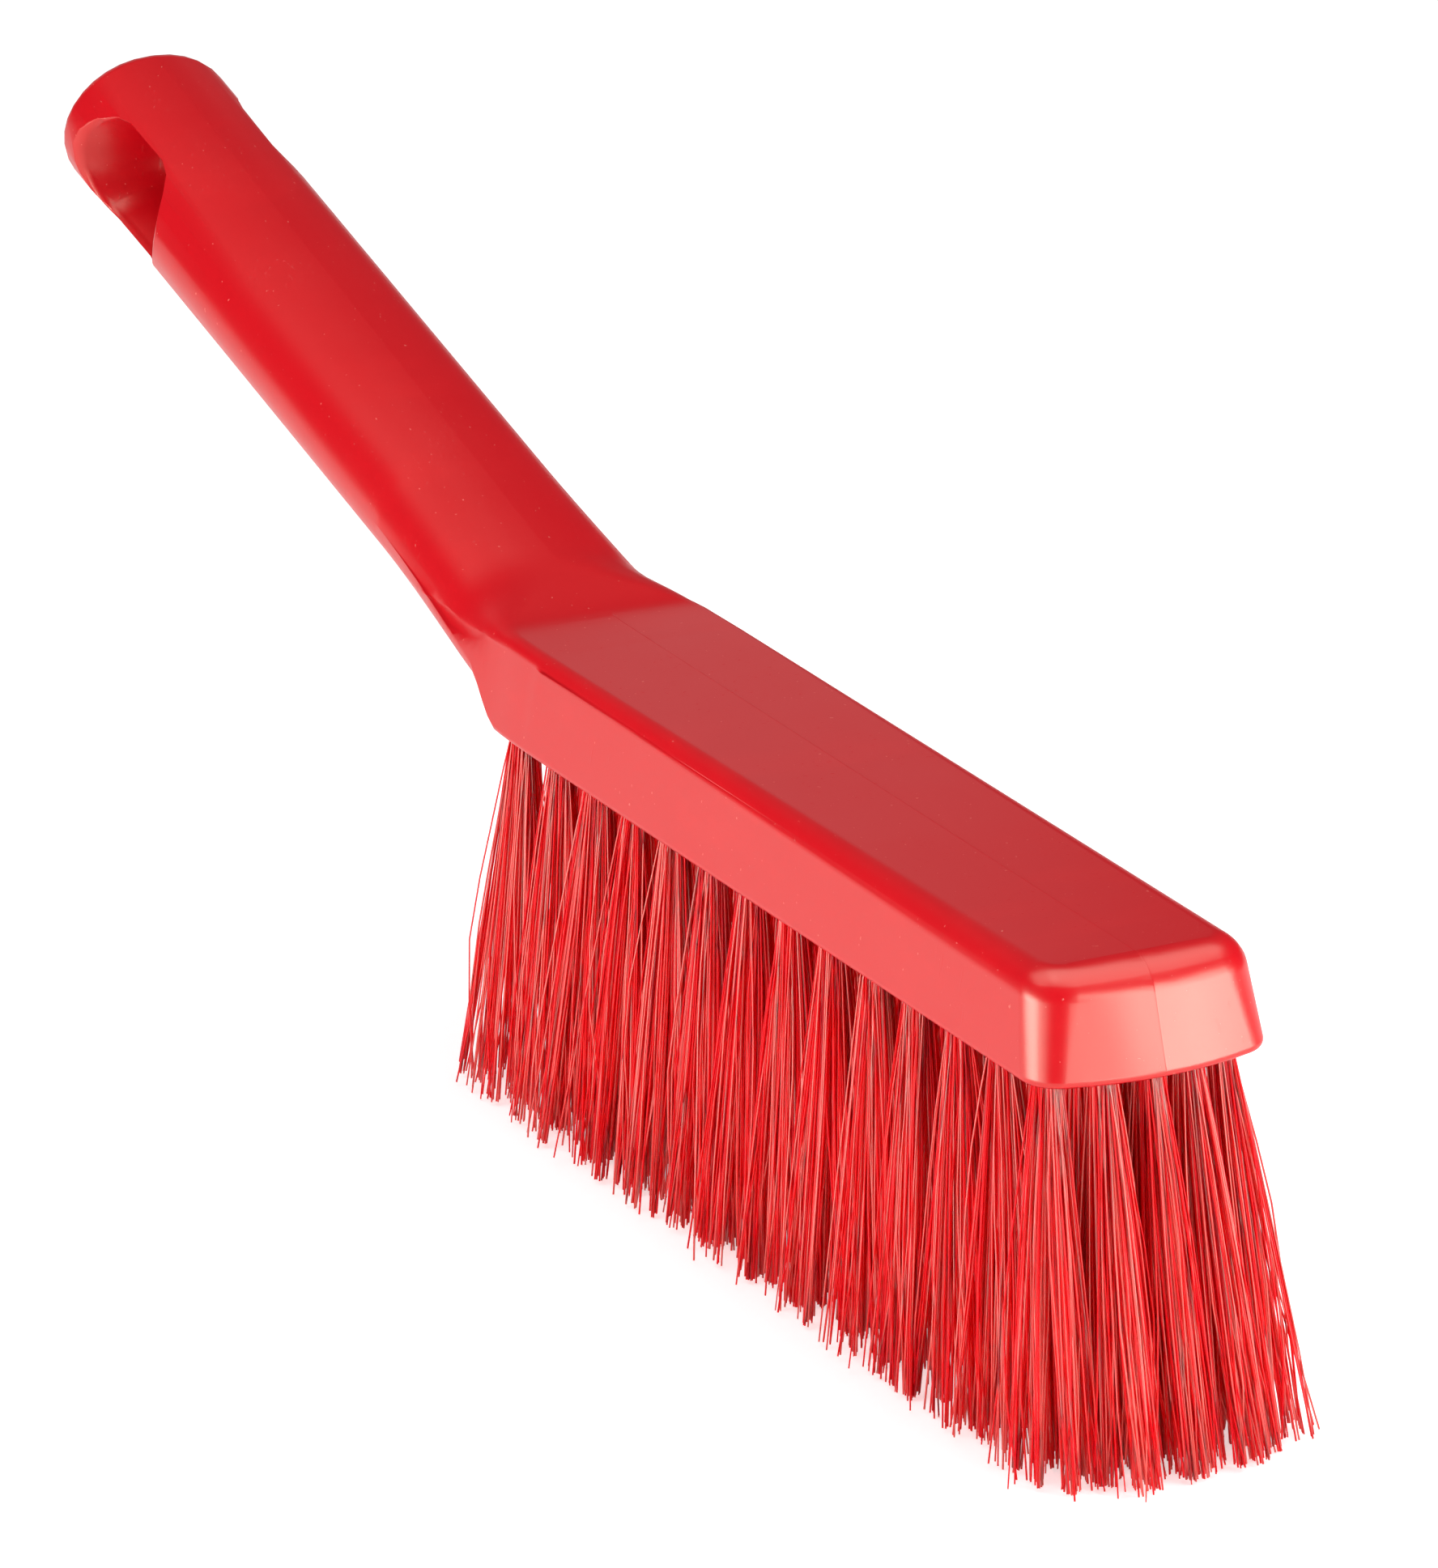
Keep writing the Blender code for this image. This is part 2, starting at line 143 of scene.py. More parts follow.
class NodeSketch:
    """A material's node tree, written a node at a time."""

    def __init__(self, name: str) -> None:
        """Makes an empty Principled material of this name."""
        self.material = bpy.data.materials.new(name)
        self.material.use_nodes = True
        self.tree = self.material.node_tree
        self.shader = self.tree.nodes["Principled BSDF"]

    def add(self, kind: str, **settings: object) -> bpy.types.Node:
        """Adds a node.

        Args:
            kind: the node's type, without its "ShaderNode" prefix.
            settings: its own properties, such as operation="MULTIPLY".

        Returns:
            The new node.
        """
        node = self.tree.nodes.new("ShaderNode" + kind)
        for name, value in settings.items():
            setattr(node, name, value)
        return node

    def join(self, source: bpy.types.NodeSocket, target: bpy.types.NodeSocket) -> None:
        """Links one socket to another."""
        self.tree.links.new(source, target)

    def feed(self, value: object, target: bpy.types.NodeSocket) -> None:
        """Gives an input either a link, where the value is a socket, or a plain value."""
        if isinstance(value, bpy.types.NodeSocket):
            self.join(value, target)
        else:
            target.default_value = value

    def maths(self, operation: str, *values: object) -> bpy.types.NodeSocket:
        """Adds one Math node over two or three values and returns its result."""
        node = self.add("Math", operation=operation)
        for value, target in zip(values, node.inputs):
            self.feed(value, target)
        return node.outputs[0]

    def scaled_place(self, cells: Triple) -> bpy.types.NodeSocket:
        """Object coordinates stretched to so many cells a metre along each axis."""
        place = self.add("TexCoord")
        mapping = self.add("Mapping")
        mapping.inputs["Scale"].default_value = cells
        self.join(place.outputs["Object"], mapping.inputs["Vector"])
        return mapping.outputs["Vector"]

    def noise(self, cells: Triple, detail: float = 2.0) -> bpy.types.NodeSocket:
        """A noise from 0 to 1 over the object, with so many cells a metre along each axis."""
        node = self.add("TexNoise")
        node.inputs["Scale"].default_value = 1.0
        node.inputs["Detail"].default_value = detail
        self.join(self.scaled_place(cells), node.inputs["Vector"])
        return node.outputs["Fac"]

    def band(self, value: bpy.types.NodeSocket, low: float, high: float) -> bpy.types.NodeSocket:
        """0 at low and 1 at high, with a smooth rise between, or the other way round."""
        node = self.add("MapRange", interpolation_type="SMOOTHSTEP")
        self.join(value, node.inputs["Value"])
        node.inputs["From Min"].default_value = min(low, high)
        node.inputs["From Max"].default_value = max(low, high)
        node.inputs["To Min"].default_value = 0.0 if low < high else 1.0
        node.inputs["To Max"].default_value = 1.0 if low < high else 0.0
        return node.outputs["Result"]

    def blend(self, share: object, first: object, second: object) -> bpy.types.NodeSocket:
        """The colour that lies a share of the way from the first to the second."""
        node = self.add("Mix", data_type="RGBA")
        self.feed(share, node.inputs["Factor"])
        # The node's sockets for colours come after those for numbers and vectors.
        self.feed(first, node.inputs[6])
        self.feed(second, node.inputs[7])
        return node.outputs[2]

    def relief(self, height: bpy.types.NodeSocket, depth: float) -> None:
        """Adds a bump of this depth over what the surface already has."""
        node = self.add("Bump")
        node.inputs["Strength"].default_value = 1.0
        node.inputs["Distance"].default_value = depth
        self.join(height, node.inputs["Height"])
        surface = self.shader.inputs["Normal"]
        if surface.is_linked:
            self.join(surface.links[0].from_socket, node.inputs["Normal"])
        self.join(node.outputs["Normal"], surface)


# --- finishes -------------------------------------------------------------------------------------


@dataclass(frozen=True)
class MouldedPlastic:
    """Satin injection-moulded plastic, with a fine grain, flow smears and handling marks.

    Cells are those of a noise, in a metre along each axis. A band is the stretch of the noise's
    values over which a mark sets in.
    """

    colour: Colour = (0.64, 0.0005, 0.0080, 1.0)
    flow_colour: Colour = (0.72, 0.004, 0.011, 1.0)
    speck_colour: Colour = (0.90, 0.20, 0.16, 1.0)
    gloss_tint: Colour = (1.0, 0.98, 0.80, 1.0)
    gloss: float = 0.88
    ior: float = 1.49
    roughness: float = 0.31
    roughness_spread: float = 0.08
    cloud_cells: Triple = (34.0, 34.0, 34.0)
    grain_cells: Triple = (3200.0, 3200.0, 3200.0)
    grain_depth: float = 0.004 * MM
    smear_cells: Triple = (70.0, 26.0, 190.0)
    smear_band: Span = (0.50, 0.74)
    smear_share: float = 0.34
    speck_cells: Triple = (1500.0, 1500.0, 1500.0)
    speck_band: Span = (0.76, 0.80)
    speck_share: float = 0.6
    scratch_cells: Triple = (1300.0, 1300.0, 26.0)
    scratch_band: Span = (0.66, 0.72)
    scratched_band: Span = (0.48, 0.62)
    scratch_roughness: float = 0.10
    scratch_depth: float = 0.014 * MM

    def material(self) -> bpy.types.Material:
        """The finish as a material on Object coordinates."""
        sketch = NodeSketch("moulded_plastic_satin")
        shader = sketch.shader
        smear = sketch.band(sketch.noise(self.smear_cells, 5.0), *self.smear_band)
        cloud = sketch.noise(self.cloud_cells, 3.0)
        specks = sketch.band(sketch.noise(self.speck_cells, 1.0), *self.speck_band)
        flow = sketch.maths("MULTIPLY", smear, self.smear_share)
        colour = sketch.blend(flow, self.colour, self.flow_colour)
        dots = sketch.maths("MULTIPLY", specks, self.speck_share)
        sketch.join(sketch.blend(dots, colour, self.speck_colour), shader.inputs["Base Color"])

        scratch = sketch.band(sketch.noise(self.scratch_cells), *self.scratch_band)
        patches = sketch.band(cloud, *self.scratched_band)
        scratches = sketch.maths("MULTIPLY", scratch, patches)
        smoothest = self.roughness - self.roughness_spread / 2
        uneven = sketch.maths("MULTIPLY_ADD", cloud, self.roughness_spread, smoothest)
        rough = sketch.maths("MULTIPLY_ADD", scratches, self.scratch_roughness, uneven)
        sketch.join(rough, shader.inputs["Roughness"])
        shader.inputs["IOR"].default_value = self.ior
        shader.inputs["Specular IOR Level"].default_value = self.gloss
        shader.inputs["Specular Tint"].default_value = self.gloss_tint

        sketch.relief(sketch.noise(self.grain_cells), self.grain_depth)
        sketch.relief(scratches, self.scratch_depth)
        sketch.relief(specks, self.scratch_depth)
        return sketch.material


@dataclass(frozen=True)
class FilamentPlastic:
    """Drawn polyester filament: glossy and translucent, each one its own shade. The palest filaments
    are partly a painted highlight, and streaks towards the tips are a painted highlight.

    It reads the tuft's UV map, which holds a filament's own number across, and along it 0 at the
    fold and 1 at the tips. A band over own numbers sets a look in over those filaments only.
    """

    deep_colour: Colour = (0.98, 0.0005, 0.012, 1.0)
    colour: Colour = (1.0, 0.002, 0.014, 1.0)
    # Colour of the palest filaments, partly a painted highlight, and of the painted highlight at the tips.
    pale_and_highlight_colour: Colour = (1.0, 0.060, 0.045, 1.0)
    middle_shade: float = 0.50
    streak_cells: Triple = (900.0, 900.0, 60.0)
    # The painted highlight at the tips: the streak values it covers, its stretch along the filament and
    # its strength.
    painted_highlight_streak_band: Span = (0.40, 0.75)
    painted_highlight_tip_band: Span = (0.35, 1.0)
    painted_tip_highlight_strength: float = 0.30
    ior: float = 1.57
    roughness: float = 0.42
    roughness_spread: float = 0.12
    gloss_tint: Colour = (1.0, 0.92, 0.76, 1.0)
    least_gloss: float = 0.25
    most_gloss: float = 1.0
    gloss_band: Span = (0.30, 0.70)
    coat: float = 1.0
    coat_ior: float = 1.6
    coat_band: Span = (0.45, 0.80)
    clearness: float = 0.8
    clear_reach: Triple = (1.0, 0.05, 0.06)
    clear_scale: float = 1.0 * MM

    def material(self) -> bpy.types.Material:
        """The finish as a material on the tuft's own UV map."""
        sketch = NodeSketch("filament_polyester")
        shader = sketch.shader
        place = sketch.add("UVMap", uv_map=FILAMENT_UV)
        split = sketch.add("SeparateXYZ")
        sketch.join(place.outputs["UV"], split.inputs["Vector"])
        own, along = split.outputs["X"], split.outputs["Y"]
        # Each filament gets its own shade from deep to pale; the pale end is partly a painted highlight.
        shade = sketch.blend(sketch.band(own, 0.0, self.middle_shade), self.deep_colour, self.colour)
        shade = sketch.blend(sketch.band(own, self.middle_shade, 1.0), shade, self.pale_and_highlight_colour)
        streak = sketch.noise(self.streak_cells, 1.0)
        # Painted highlight: streaks towards the tips are blended towards the pale colour.
        painted_tip_highlight = sketch.maths("MULTIPLY", sketch.band(along, *self.painted_highlight_tip_band), self.painted_tip_highlight_strength)
        lift = sketch.maths("MULTIPLY", sketch.band(streak, *self.painted_highlight_streak_band), painted_tip_highlight)
        sketch.join(sketch.blend(lift, shade, self.pale_and_highlight_colour), shader.inputs["Base Color"])

        smoothest = self.roughness - self.roughness_spread / 2
        rough = sketch.maths("MULTIPLY_ADD", streak, self.roughness_spread, smoothest)
        sketch.join(rough, shader.inputs["Roughness"])
        more = self.most_gloss - self.least_gloss
        gloss = sketch.maths("MULTIPLY_ADD", sketch.band(own, *self.gloss_band), more, self.least_gloss)
        sketch.join(gloss, shader.inputs["Specular IOR Level"])
        coat = sketch.maths("MULTIPLY", sketch.band(own, *self.coat_band), self.coat)
        sketch.join(coat, shader.inputs["Coat Weight"])
        for socket, value in (
            ("IOR", self.ior),
            ("Specular Tint", self.gloss_tint),
            ("Coat Roughness", self.roughness),
            ("Coat IOR", self.coat_ior),
            ("Subsurface Weight", self.clearness),
            ("Subsurface Radius", self.clear_reach),
            ("Subsurface Scale", self.clear_scale),
        ):
            shader.inputs[socket].default_value = value
        return sketch.material


@dataclass(frozen=True)
class AnchorSteel:
    """Bright flat stainless wire, drawn lengthwise."""

    colour: Colour = (0.62, 0.62, 0.64, 1.0)
    line_colour: Colour = (0.40, 0.40, 0.42, 1.0)
    line_cells: Triple = (400.0, 9000.0, 9000.0)
    line_share: float = 0.35
    line_depth: float = 0.002 * MM
    roughness: float = 0.28
    line_roughness: float = 0.15

    def material(self) -> bpy.types.Material:
        """The finish as a material on Object coordinates."""
        sketch = NodeSketch("anchor_steel_drawn")
        shader = sketch.shader
        lines = sketch.noise(self.line_cells)
        share = sketch.maths("MULTIPLY", lines, self.line_share)
        sketch.join(sketch.blend(share, self.colour, self.line_colour), shader.inputs["Base Color"])
        rough = sketch.maths("MULTIPLY_ADD", lines, self.line_roughness, self.roughness)
        sketch.join(rough, shader.inputs["Roughness"])
        shader.inputs["Metallic"].default_value = 1.0
        sketch.relief(lines, self.line_depth)
        return sketch.material


# --- the moulding ---------------------------------------------------------------------------------


@dataclass
class Moulding:
    """The block, throat and handle in one piece, with the lines that its mould leaves on them."""

    node: bpy.types.Object
    nose_x: float
    underside_z: float
    seam_width: float = 0.26 * MM
    seam_height: float = 0.03 * MM
    seam_drift: float = 0.0105  # sideways, for each length that the line runs back
    seam_nose: Triple = (-5.0 * MM, -0.15 * MM, 0.0)  # a point on the line, from the nose
    seam_end: float = 163.0 * MM  # behind the nose, where the throat rises
    seam_foot: float = 0.8 * MM  # over the underside, where the line ends at the nose
    seam_facing: float = 0.5  # least sum of a face's normal along X and Z, on the back and the nose
    groove_below_top: float = 1.9 * MM
    groove_width: float = 0.30 * MM
    groove_depth: float = 0.08 * MM
    block_height: float = 15.2 * MM
    groove_end: float = 140.0 * MM  # behind the nose
    groove_facing: float = 0.85  # least size of a face's normal along Y, on the sides
    line_flank: float = 0.06 * MM  # the sloping flank of either line
    weld: float = 0.002 * MM
    smooth_angle: float = math.radians(35)
    large_face_weight: int = 80

    def copied(self) -> bpy.types.Object:
        """A copy of the solid as one welded skin."""
        pick(self.node)
        bpy.ops.object.duplicate()
        piece = bpy.context.view_layer.objects.active
        pick(piece)
        bpy.ops.object.mode_set(mode="EDIT")
        bpy.ops.mesh.select_mode(type="VERT")
        bpy.ops.mesh.select_all(action="SELECT")
        bpy.ops.mesh.remove_doubles(threshold=self.weld)
        bpy.ops.object.mode_set(mode="OBJECT")
        return piece

    def raise_seam(self, piece: bpy.types.Object) -> None:
        """Raises the parting line over the block's back and down its nose.

        Args:
            piece: the welded moulding, which is changed.
        """
        across = Vector((self.seam_drift, 1.0, 0.0)).normalized()
        on_line = Vector((self.nose_x, 0.0, 0.0)) + Vector(self.seam_nose)
        for side in (-1, 1):
            self.cut_block(piece, on_line + across * (side * self.seam_width / 2), across)
        hindmost = self.nose_x - self.seam_end
        lowest = self.underside_z + self.seam_foot
        for face in piece.data.polygons:
            inside = abs((face.center - on_line).dot(across)) < self.seam_width / 2
            on_block = face.center.x > hindmost and face.center.z > lowest
            face.select = inside and on_block and face.normal.z + face.normal.x > self.seam_facing
        self.shift_selected(piece, self.seam_height)

    def sink_groove(self, piece: bpy.types.Object) -> None:
        """Sinks the fine line that runs along each of the block's sides, just under its rolled edge.

        Args:
            piece: the welded moulding, which is changed.
        """
        middle = self.underside_z + self.block_height - self.groove_below_top
        for side in (-1, 1):
            edge = Vector((0.0, 0.0, middle + side * self.groove_width / 2))
            self.cut_block(piece, edge, Vector((0.0, 0.0, 1.0)))
        for face in piece.data.polygons:
            inside = abs(face.center.z - middle) < self.groove_width / 2
            on_block = face.center.x > self.nose_x - self.groove_end
            face.select = inside and on_block and abs(face.normal.y) > self.groove_facing
        self.shift_selected(piece, -self.groove_depth)

    def cut_block(self, piece: bpy.types.Object, point: Vector, normal: Vector) -> None:
        """Cuts the block's faces in two along a plane, and leaves those behind the seam's end whole.

        Args:
            piece: the mesh object, in object mode.
            point: a point on the plane.
            normal: the plane's normal.
        """
        pick(piece)
        hindmost = self.nose_x - self.seam_end
        vertices = piece.data.vertices
        for face in piece.data.polygons:
            face.select = max(vertices[corner].co.x for corner in face.vertices) > hindmost
        bpy.ops.object.mode_set(mode="EDIT")
        bpy.ops.mesh.select_mode(type="FACE")
        bpy.ops.mesh.bisect(plane_co=point, plane_no=normal)
        bpy.ops.mesh.select_all(action="DESELECT")
        bpy.ops.object.mode_set(mode="OBJECT")

    def shift_selected(self, piece: bpy.types.Object, out: float) -> None:
        """Insets the faces selected on the mesh by a little, and moves them out along their normals.

        Args:
            piece: the mesh object, in object mode.
            out: how far they move, inwards where it is negative.
        """
        pick(piece)
        bpy.ops.object.mode_set(mode="EDIT")
        bpy.ops.mesh.inset(thickness=self.line_flank, depth=out)
        bpy.ops.object.mode_set(mode="OBJECT")

    def build(self, finish: bpy.types.Material) -> bpy.types.Object:
        """Makes the visible moulding.

        Args:
            finish: the plastic that it is moulded in.

        Returns:
            The finished piece.
        """
        piece = self.copied()
        self.sink_groove(piece)
        self.raise_seam(piece)
        pick(piece)
        bpy.ops.object.shade_smooth_by_angle(angle=self.smooth_angle)
        even = piece.modifiers.new("even_shading", "WEIGHTED_NORMAL")
        even.keep_sharp = True
        even.weight = self.large_face_weight
        bpy.ops.object.modifier_apply(modifier=even.name)
        finish_piece(piece, "moulding", finish)
        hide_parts(self.node.name)
        return piece


# --- the tufts ------------------------------------------------------------------------------------


class Row(Enum):
    """Where on the block a tuft stands, with how far its fan reaches along the block and across it."""

    INNER = ("inner", 8.6 * MM, 7.6 * MM)
    NOSE = ("nose", 6.7 * MM, 8.4 * MM)
    HEEL = ("heel", 8.0 * MM, 9.0 * MM)
    CORNER = ("_14", 7.0 * MM, 6.8 * MM)
    SIDE = ("tuft", 9.2 * MM, 6.8 * MM)

    @classmethod
    def of(cls, name: str) -> "Row":
        """The row that a tuft's name puts it in."""
        return next(row for row in cls if row.value[0] in name)

    @property
    def reach(self) -> np.ndarray:
        """How far the tips stand from the middle of the fan, along the block and across it."""
        return np.array(self.value[1:])


@dataclass(frozen=True)
class Seat:
    """A tuft's hole: its middle at the underside, and the direction that it leads into the block."""

    name: str
    root: np.ndarray
    inward: np.ndarray
    depth: float

    MOUTH_TOLERANCE = 0.01 * MM
    FOLD_HEIGHT = 1.0 * MM

    @classmethod
    def of_node(cls, node: bpy.types.Object, underside_z: float) -> "Seat":
        """Reads the seat from a tuft's solid, whose root lies in line with its hole.

        Args:
            node: the tuft's solid.
            underside_z: the height of the block's underside.

        Returns:
            The seat.
        """
        places = np.empty(len(node.data.vertices) * 3)
        node.data.vertices.foreach_get("co", places)
        places = places.reshape(-1, 3)
        places = np.unique(np.round(places, 6), axis=0)
        height = places[:, 2]
        root = places[np.abs(height - underside_z) < cls.MOUTH_TOLERANCE].mean(axis=0)
        # The folded end is a small flat ring, square to the hole.
        fold = places[height > height.max() - cls.FOLD_HEIGHT].mean(axis=0)
        inward = fold - root
        depth = float(np.linalg.norm(inward))
        return cls(node.name, root, inward / depth, depth)


@dataclass
class Filament:
    """One straight length of filament, upright and one unit long, ready to be laid along a path."""

    shares: tuple[float, ...]
    sides: int = 4

    def build(self) -> Template:
        """Models the length and reads it back.

        Returns:
            For each point, the number of its level and its place across the section, and the faces.
        """
        deselect_all()
        bpy.ops.mesh.primitive_cylinder_add(
            vertices=self.sides,
            radius=1.0,
            depth=1.0,
            end_fill_type="NGON",
            location=(0.0, 0.0, 0.5),
        )
        length = bpy.context.view_layer.objects.active
        bpy.ops.object.transform_apply(location=True)
        bpy.ops.object.mode_set(mode="EDIT")
        for share in self.shares[1:-1]:
            bpy.ops.mesh.select_all(action="SELECT")
            bpy.ops.mesh.bisect(plane_co=(0.0, 0.0, share), plane_no=(0.0, 0.0, 1.0))
        bpy.ops.object.mode_set(mode="OBJECT")
        points = np.array([tuple(vertex.co) for vertex in length.data.vertices])
        faces = [tuple(face.vertices) for face in length.data.polygons]
        levels = np.abs(points[:, 2:3] - np.array(self.shares)).argmin(axis=1)
        bpy.data.objects.remove(length, do_unlink=True)
        return levels, points[:, :2], faces


@dataclass
class Tuft:
    """A bundle of filaments folded in two at the bottom of its hole, and fanning out below it."""

    seat: Seat
    trim_z: float
    nose_x: float
    seed: int
    low: Vector
    high: Vector
    folded: int = 88
    filament: float = 0.28 * MM
    thickness_range: Span = (0.92, 1.10)
    hole_radius: float = 2.1 * MM
    hole_fill: float = 0.98
    fold_gap: float = 0.06  # from the fold's line to the nearest leg, where the hole's wall is at 1
    fan_scale: float = 0.92
    fan_spread: float = 0.12
    fan_jitter: float = 0.06
    clumps: int = 10
    clump_reach: float = 0.9
    clumping: float = 0.85
    stray_share: float = 0.07
    stray_reach: float = 2.6 * MM
    trim_allowance: float = 0.50 * MM
    trim_unevenness: float = 0.50 * MM
    full_share: float = 0.12
    short_share: float = 0.08
    shortest_by: float = 3.0 * MM
    wave: float = 0.65 * MM
    ripple: float = 0.4
    ripple_turns: float = 1.25
    lean_at_nose: float = 2.3 * MM
    lean_at_heel: float = 0.4 * MM
    lean_length: float = 165.0 * MM
    lean_curve: float = 0.7
    corner_gather: float = 0.86

    FREE_SHARES = (1.0, 0.80, 0.60, 0.42, 0.26, 0.12, 0.0)
    IN_HOLE_SHARE = 0.72

    @classmethod
    def levels(cls) -> tuple[float, ...]:
        """The even shares at which a folded filament has its rings, from tip to tip."""
        count = 2 * (len(cls.FREE_SHARES) + 1)
        return tuple(step / count for step in range(count + 1))

    def tip_centre(self) -> np.ndarray:
        """Where the middle of the trimmed end lies, with the lean that use has given the tufts."""
        free = (self.seat.root[2] - self.trim_z) / self.seat.inward[2]
        centre = self.seat.root - self.seat.inward * free
        if Row.of(self.seat.name) is Row.CORNER:
            centre[1] *= self.corner_gather
        behind = np.clip((self.nose_x - self.seat.root[0]) / self.lean_length, 0.0, 1.0)
        change = (self.lean_at_heel - self.lean_at_nose) * behind**self.lean_curve
        centre[1] += self.lean_at_nose + change
        return centre

    def legs(self, rng: np.random.Generator, side: int, along: np.ndarray) -> np.ndarray:
        """The paths of one leg of each filament, from the mouth of the hole to the tip.

        Args:
            rng: the tuft's own random numbers.
            side: 1 or -1, the side of the fold on which these legs leave.
            along: for each filament, its place along the fold, from -1 to 1.

        Returns:
            An array of filament, level and coordinate, whose first level is at the tip.
        """
        count = self.folded
        room = np.sqrt(1 - along**2)
        across = side * room * (self.fold_gap + (1.0 - self.fold_gap) * rng.random(count))
        mouth = np.stack([along, across], axis=1)
        reach = Row.of(self.seat.name).reach
        scale = self.fan_scale + self.fan_spread * rng.standard_normal((count, 1))
        jitter = self.fan_jitter * rng.standard_normal((count, 2))
        spread = (mouth * scale + jitter) * reach
        gather = rng.uniform(-self.clump_reach, self.clump_reach, (self.clumps, 2)) * reach
        nearest = np.linalg.norm(spread[:, None] - gather[None], axis=2).argmin(axis=1)
        pull = self.clumping * rng.random(self.clumps)[nearest][:, None]
        spread = spread + (gather[nearest] - spread) * pull
        stray = rng.random(count) < self.stray_share
        spread[stray] += rng.normal(0.0, self.stray_reach, (int(stray.sum()), 2))

        cut = np.abs(rng.normal(0.0, self.trim_unevenness, count))
        full = rng.random(count) < self.full_share
        cut[~full] += self.trim_allowance
        short = rng.random(count) < self.short_share
        cut += short * rng.uniform(0.0, self.shortest_by, count)
        tip = np.empty((count, 3))
        tip[:, :2] = self.tip_centre()[:2] + spread
        tip[:, 2] = self.trim_z + cut
        margin = self.filament
        tip[:, 0] = np.clip(tip[:, 0], self.low.x + margin, self.high.x - margin)
        tip[:, 1] = np.clip(tip[:, 1], self.low.y + margin, self.high.y - margin)

        root = np.tile(self.seat.root, (count, 1))
        root[:, :2] += mouth * self.hole_radius
        phase = rng.uniform(0.0, 2 * np.pi, (count, 1))
        bow = rng.normal(0.0, self.wave, (count, 2))
        path = np.empty((count, len(self.FREE_SHARES), 3))
        for level, share in enumerate(self.FREE_SHARES):
            path[:, level] = root + (tip - root) * share
            ripple = np.sin(self.ripple_turns * 2 * np.pi * share + phase)
            path[:, level, :2] += bow * (np.sin(np.pi * share) + self.ripple * share * ripple)
        return path

    def paths(self) -> np.ndarray:
        """The whole path of each folded filament, from one tip up round the fold to the other."""
        rng = np.random.default_rng(self.seed)
        along = np.sin(np.pi * (rng.permutation(self.folded) + 0.5) / self.folded - np.pi / 2)
        along *= self.hole_fill
        near = self.legs(rng, 1, along)
        far = self.legs(rng, -1, along)
        inward = self.seat.inward
        deep = [leg[:, -1] + inward * self.seat.depth * self.IN_HOLE_SHARE for leg in (near, far)]
        fold = (deep[0] + deep[1]) / 2
        fold[:, 1] = self.seat.root[1] + inward[1] * self.seat.depth
        fold[:, 2] = self.seat.root[2] + inward[2] * (self.seat.depth - self.filament)
        bend = np.stack([deep[0], fold, deep[1]], axis=1)
        return np.concatenate([near, bend, far[:, ::-1]], axis=1)

    def build(self, finish: bpy.types.Material, template: Template) -> bpy.types.Object:
        """Lays the filaments along their paths and joins them in one piece.

        Args:
            finish: the filament's material.
            template: one straight filament, from Filament.build.

        Returns:
            The finished tuft.
        """
        levels, across, faces = template
        paths = self.paths()
        heading = np.gradient(paths, axis=1)
        heading /= np.linalg.norm(heading, axis=2, keepdims=True)
        first = np.array([1.0, 0.0, 0.0]) - heading[..., :1] * heading
        first /= np.linalg.norm(first, axis=2, keepdims=True)
        second = np.cross(heading, first)
        rng = np.random.default_rng(self.seed + 1)
        turn = rng.uniform(0.0, np.pi / 2, (self.folded, 1, 1))
        thick = self.filament / 2 * rng.uniform(*self.thickness_range, (self.folded, 1, 1))
        u = across[None, :, :1] * np.cos(turn) - across[None, :, 1:] * np.sin(turn)
        v = across[None, :, :1] * np.sin(turn) + across[None, :, 1:] * np.cos(turn)
        points = paths[:, levels] + thick * (u * first[:, levels] + v * second[:, levels])
        count = len(levels)
        points[..., 2] = np.maximum(points[..., 2], self.trim_z)
        all_faces = [
            tuple(corner + count * number for corner in face)
            for number in range(self.folded)
            for face in faces
        ]
        mesh = bpy.data.meshes.new(self.seat.name)
        mesh.from_pydata(points.reshape(-1, 3).tolist(), [], all_faces)
        self.number_filaments(mesh, levels, rng)
        mesh.shade_smooth()
        piece = bpy.data.objects.new(self.seat.name, mesh)
        bpy.context.collection.objects.link(piece)
        finish_piece(piece, self.seat.name + "_filaments", finish)
        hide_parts(self.seat.name)
        return piece

    def number_filaments(self, mesh: bpy.types.Mesh, levels: np.ndarray, rng: np.random.Generator) -> None:
        """Writes the UV map: each filament's own number across, and 0 at its fold to 1 at its tips.

        Args:
            mesh: the tuft's mesh.
            levels: for each of a filament's points, the number of its level.
            rng: the random numbers that the filaments' own numbers are drawn from.
        """
        own = rng.random(self.folded)
        last = len(self.levels()) - 1
        outward = np.abs(levels / last * 2 - 1)
        corner = np.empty(len(mesh.loops), dtype=np.int64)
        mesh.loops.foreach_get("vertex_index", corner)
        count = len(levels)
        values = np.stack([own[corner // count], outward[corner % count]], axis=1)
        layer = mesh.uv_layers.new(name=FILAMENT_UV)
        layer.data.foreach_set("uv", values.ravel())


